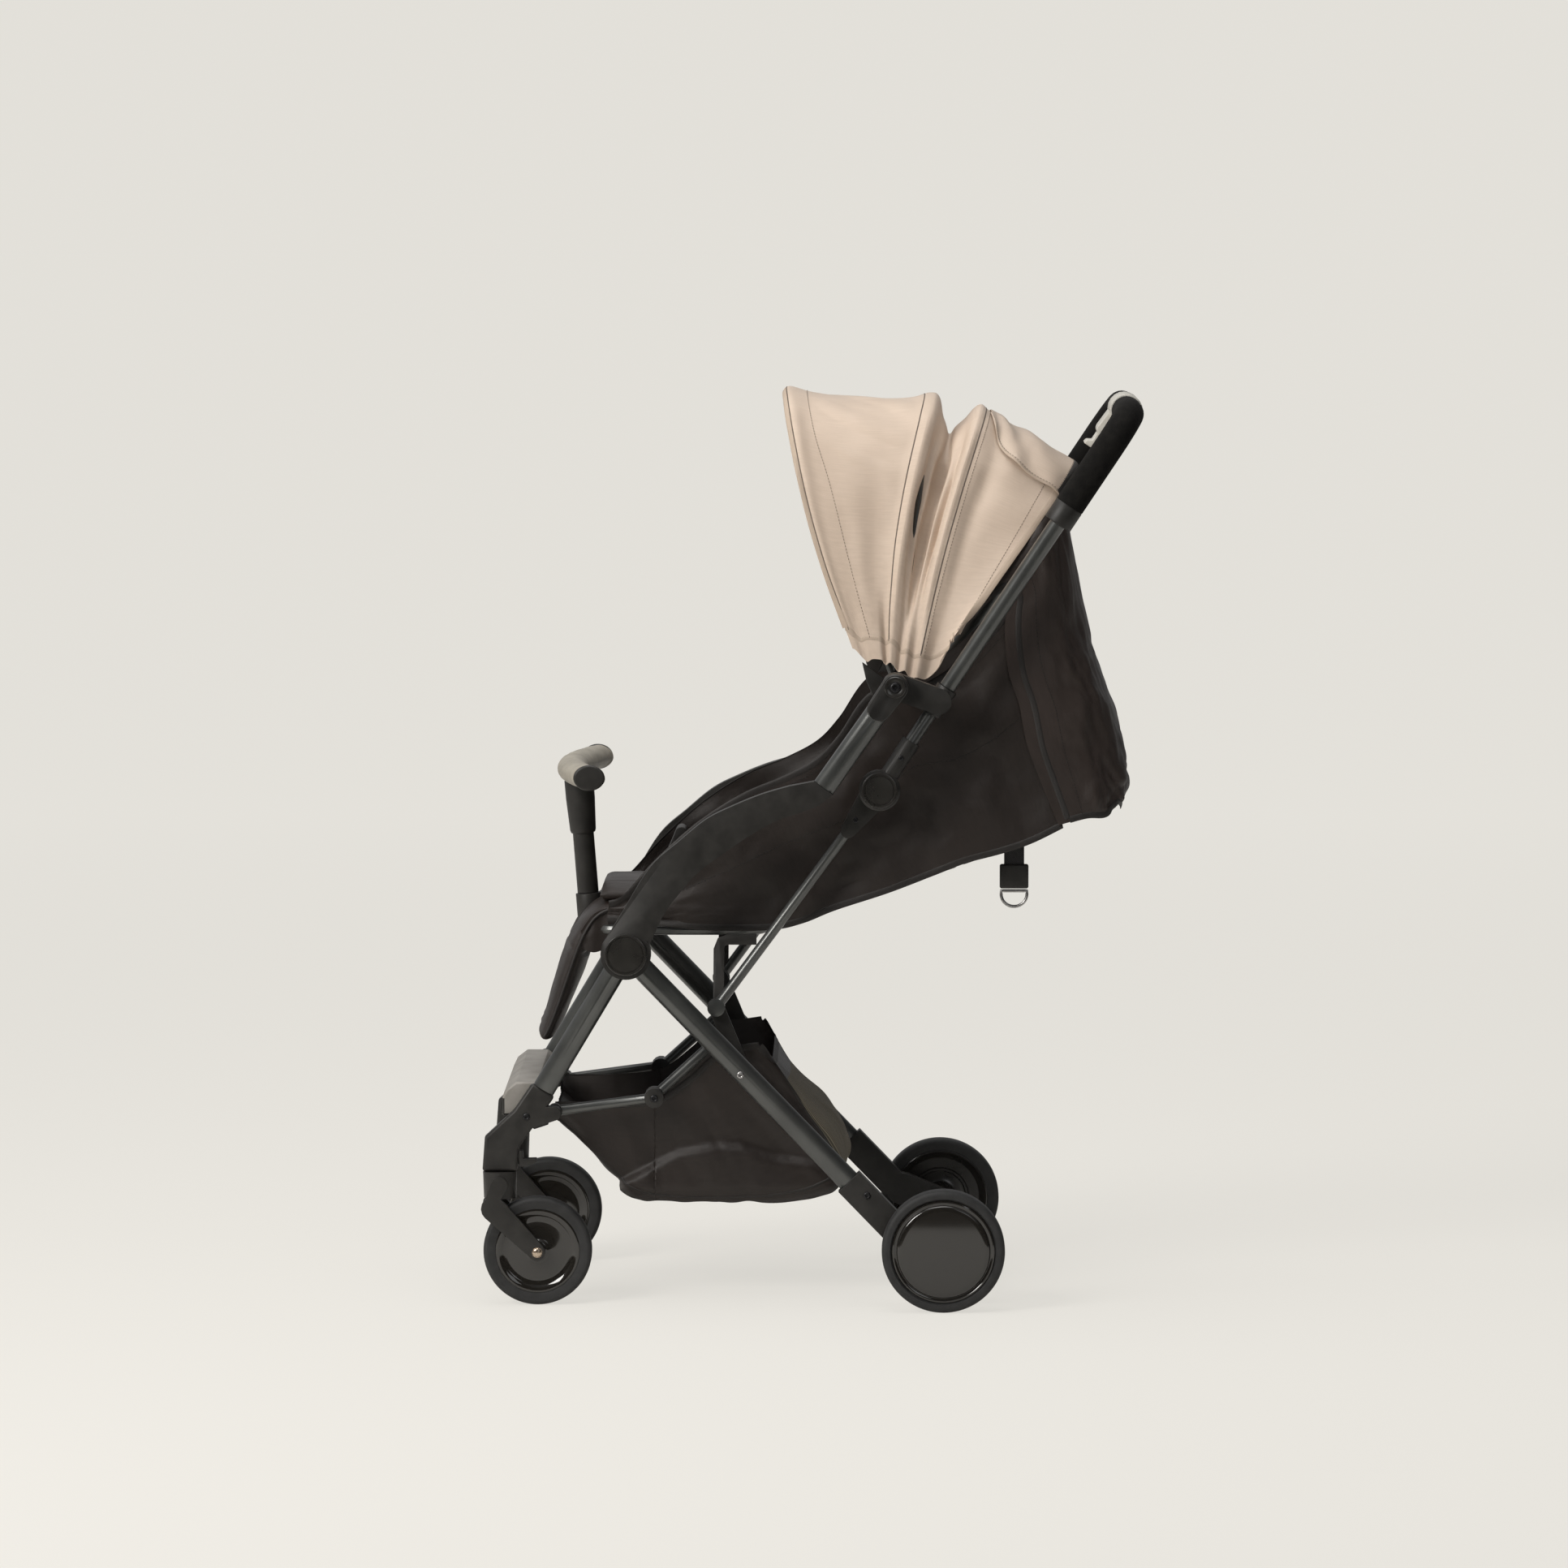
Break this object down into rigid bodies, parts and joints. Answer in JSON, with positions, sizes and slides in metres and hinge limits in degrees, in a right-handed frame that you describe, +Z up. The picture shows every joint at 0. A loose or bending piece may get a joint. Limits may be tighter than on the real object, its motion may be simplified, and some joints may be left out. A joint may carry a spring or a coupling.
{
  "type": "folding cabin stroller",
  "caption": "Folding cabin stroller: X-shaped tube frame with a linked fold, swivel front casters, reclining seat, sun canopy, bumper bar, under-seat basket and push handle.",
  "frame": {"origin": "on the floor, under the middle of the object's box", "axes": "+Z up, -Y to the stroller's front, +X to its left side"},
  "size_m": [0.468, 0.756, 1.0462],
  "materials": {
    "tube_paint": "satin powder coat",
    "dark_plastic": "fine-textured moulding",
    "tyre": "solid foam tyre and moulded rim in one colour",
    "grip_foam": "matte foam",
    "grey_plastic": "smooth satin",
    "charcoal_fabric": "tight polyester weave",
    "beige_fabric": "smooth polyester weave with a soft sheen",
    "webbing": "woven tape",
    "greige_cover": "grained cover",
    "ring_steel": "polished wire"
  },
  "bodies": {
    "frame": {"armrest_left": "dark_plastic", "armrest_right": "dark_plastic", "upper_rail_left": "tube_paint", "upper_rail_right": "tube_paint", "hub_cap_left": "dark_plastic", "hub_cap_right": "dark_plastic", "seat_frame": "tube_paint", "seat_pad": "charcoal_fabric", "calf_rest": "charcoal_fabric", "harness_buckle": "webbing", "side_panel_left": "charcoal_fabric", "side_panel_right": "charcoal_fabric", "basket": "charcoal_fabric", "canopy": "beige_fabric", "rear_apron": "charcoal_fabric"},
    "rear_frame": {"rear_leg_left": "tube_paint", "rear_leg_right": "tube_paint", "rear_bracket_left": "dark_plastic", "rear_bracket_right": "dark_plastic", "rear_axle": "tube_paint"},
    "front_frame": {"front_leg_left": "tube_paint", "front_leg_right": "tube_paint", "caster_socket_left": "dark_plastic", "caster_socket_right": "dark_plastic", "footrest": "greige_cover"},
    "handle": {"handle_tube_left": "tube_paint", "handle_tube_right": "tube_paint", "grip_left": "grip_foam", "grip_right": "grip_foam", "release_housing": "grey_plastic", "handle_bracket_left": "dark_plastic", "handle_bracket_right": "dark_plastic", "handle_lower_left": "tube_paint", "handle_lower_right": "tube_paint"},
    "release_trigger": {"release_trigger": "grey_plastic"},
    "struts": {"strut_left": "tube_paint", "strut_right": "tube_paint"},
    "lower_links": {"lower_link_left": "tube_paint", "lower_link_right": "tube_paint"},
    "basket_front": {"basket_front_link_left": "tube_paint", "basket_front_link_right": "tube_paint"},
    "basket_rear": {"basket_rear_link_left": "tube_paint", "basket_rear_link_right": "tube_paint"},
    "backrest": {"backrest_pad": "charcoal_fabric", "recline_strap": "webbing"},
    "d_ring": {"d_ring": "ring_steel"},
    "bumper": {"bumper_post": "dark_plastic", "bumper_bar": "greige_cover"},
    "canopy_rear": {"canopy_hoop_rear": "tube_paint"},
    "canopy_middle": {"canopy_hoop_middle": "tube_paint"},
    "canopy_front": {"canopy_hoop_front": "tube_paint"},
    "brake_pedal": {"brake_pedal": "dark_plastic"},
    "caster_left": {"caster_fork_left": "dark_plastic"},
    "front_wheel_left": {"front_wheel_left": "tyre"},
    "rear_wheel_left": {"rear_wheel_left": "tyre"},
    "swivel_lock_left": {"swivel_lock_left": "dark_plastic"},
    "caster_right": {"caster_fork_right": "dark_plastic"},
    "front_wheel_right": {"front_wheel_right": "tyre"},
    "rear_wheel_right": {"rear_wheel_right": "tyre"},
    "swivel_lock_right": {"swivel_lock_right": "dark_plastic"}
  },
  "joints": [
    {"name": "frame_fold", "type": "hinge", "parent": "frame", "child": "rear_frame", "pos_m": [0, -0.2116, 0.4064], "axis": [1, 0, 0], "range_deg": [0, 74], "deforming": ["backrest_pad", "side_panel_left", "side_panel_right", "rear_apron", "basket", "canopy", "calf_rest"]},
    {"name": "front_fold", "type": "hinge", "parent": "frame", "child": "front_frame", "pos_m": [0, -0.2116, 0.4064], "axis": [1, 0, 0], "range_deg": [0, 113]},
    {"name": "handle_fold", "type": "hinge", "parent": "frame", "child": "handle", "pos_m": [0, 0.0936, 0.7104], "axis": [1, 0, 0], "range_deg": [0, 133]},
    {"name": "lower_link_turn", "type": "hinge", "parent": "rear_frame", "child": "lower_links", "pos_m": [0, -0.082, 0.267], "axis": [1, 0, 0], "range_deg": [-96.5, 0]},
    {"name": "strut_turn", "type": "hinge", "parent": "lower_links", "child": "struts", "pos_m": [0, -0.1101, 0.34], "axis": [1, 0, 0], "range_deg": [0, 10.3]},
    {"name": "basket_front_turn", "type": "hinge", "parent": "front_frame", "child": "basket_front", "pos_m": [0, -0.2947, 0.2198], "axis": [1, 0, 0], "range_deg": [-36.2, 0]},
    {"name": "basket_rear_turn", "type": "hinge", "parent": "basket_front", "child": "basket_rear", "pos_m": [0, -0.1812, 0.2352], "axis": [1, 0, 0], "range_deg": [0, 88.4]},
    {"name": "recline", "type": "hinge", "parent": "frame", "child": "backrest", "pos_m": [0, -0.056, 0.4255], "axis": [1, 0, 0], "range_deg": [0, 48]},
    {"name": "canopy_rear_turn", "type": "hinge", "parent": "frame", "child": "canopy_rear", "pos_m": [0, 0.0936, 0.7104], "axis": [1, 0, 0], "range_deg": [-18.6, 0], "deforming": ["canopy"]},
    {"name": "canopy_middle_turn", "type": "hinge", "parent": "canopy_rear", "child": "canopy_middle", "pos_m": [0, 0.0936, 0.7104], "axis": [1, 0, 0], "range_deg": [-8, 0]},
    {"name": "canopy_front_turn", "type": "hinge", "parent": "canopy_middle", "child": "canopy_front", "pos_m": [0, 0.0936, 0.7104], "axis": [1, 0, 0], "range_deg": [-25, 0]},
    {"name": "bumper_lift", "type": "slide", "parent": "frame", "child": "bumper", "axis": [0, 0.0792, -0.9969], "range_m": [-0.06, 0]},
    {"name": "caster_swivel_left", "type": "hinge", "parent": "front_frame", "child": "caster_left", "pos_m": [0.164, -0.357, 0.153], "axis": [0, 0, 1], "continuous": true},
    {"name": "front_wheel_spin_left", "type": "hinge", "parent": "caster_left", "child": "front_wheel_left", "pos_m": [0.164, -0.314, 0.062], "axis": [1, 0, 0], "continuous": true},
    {"name": "rear_wheel_spin_left", "type": "hinge", "parent": "rear_frame", "child": "rear_wheel_left", "pos_m": [0.2195, 0.149, 0.07], "axis": [1, 0, 0], "continuous": true},
    {"name": "swivel_lock_press_left", "type": "slide", "parent": "front_frame", "child": "swivel_lock_left", "axis": [0, 0, -1], "range_m": [0, 0.004]},
    {"name": "caster_swivel_right", "type": "hinge", "parent": "front_frame", "child": "caster_right", "pos_m": [-0.164, -0.357, 0.153], "axis": [0, 0, 1], "continuous": true},
    {"name": "front_wheel_spin_right", "type": "hinge", "parent": "caster_right", "child": "front_wheel_right", "pos_m": [-0.164, -0.314, 0.062], "axis": [1, 0, 0], "continuous": true},
    {"name": "rear_wheel_spin_right", "type": "hinge", "parent": "rear_frame", "child": "rear_wheel_right", "pos_m": [-0.2195, 0.149, 0.07], "axis": [1, 0, 0], "continuous": true},
    {"name": "swivel_lock_press_right", "type": "slide", "parent": "front_frame", "child": "swivel_lock_right", "axis": [0, 0, -1], "range_m": [0, 0.004]},
    {"name": "brake_press", "type": "hinge", "parent": "rear_frame", "child": "brake_pedal", "pos_m": [0.152, 0.149, 0.07], "axis": [1, 0, 0], "range_deg": [-25, 0]},
    {"name": "trigger_squeeze", "type": "slide", "parent": "handle", "child": "release_trigger", "axis": [0, 0.5548, 0.832], "range_m": [0, 0.006], "stiffness_N_per_m": 150},
    {"name": "ring_swing", "type": "hinge", "parent": "backrest", "child": "d_ring", "pos_m": [0.092, 0.2306, 0.4679], "axis": [0, 1, 0], "range_deg": [-60, 60]}
  ],
  "couplings": [
    {"joint": "front_fold", "follows": "frame_fold", "ratio": 1.5135},
    {"joint": "handle_fold", "follows": "frame_fold", "ratio": 1.7838},
    {"joint": "lower_link_turn", "follows": "frame_fold", "ratio": -1.2905},
    {"joint": "strut_turn", "follows": "frame_fold", "ratio": 0.1257},
    {"joint": "basket_front_turn", "follows": "frame_fold", "ratio": -0.4757},
    {"joint": "basket_rear_turn", "follows": "frame_fold", "ratio": 1.1811},
    {"joint": "canopy_middle_turn", "follows": "canopy_rear_turn", "ratio": 0.414},
    {"joint": "canopy_front_turn", "follows": "canopy_rear_turn", "ratio": 1.328}
  ]
}
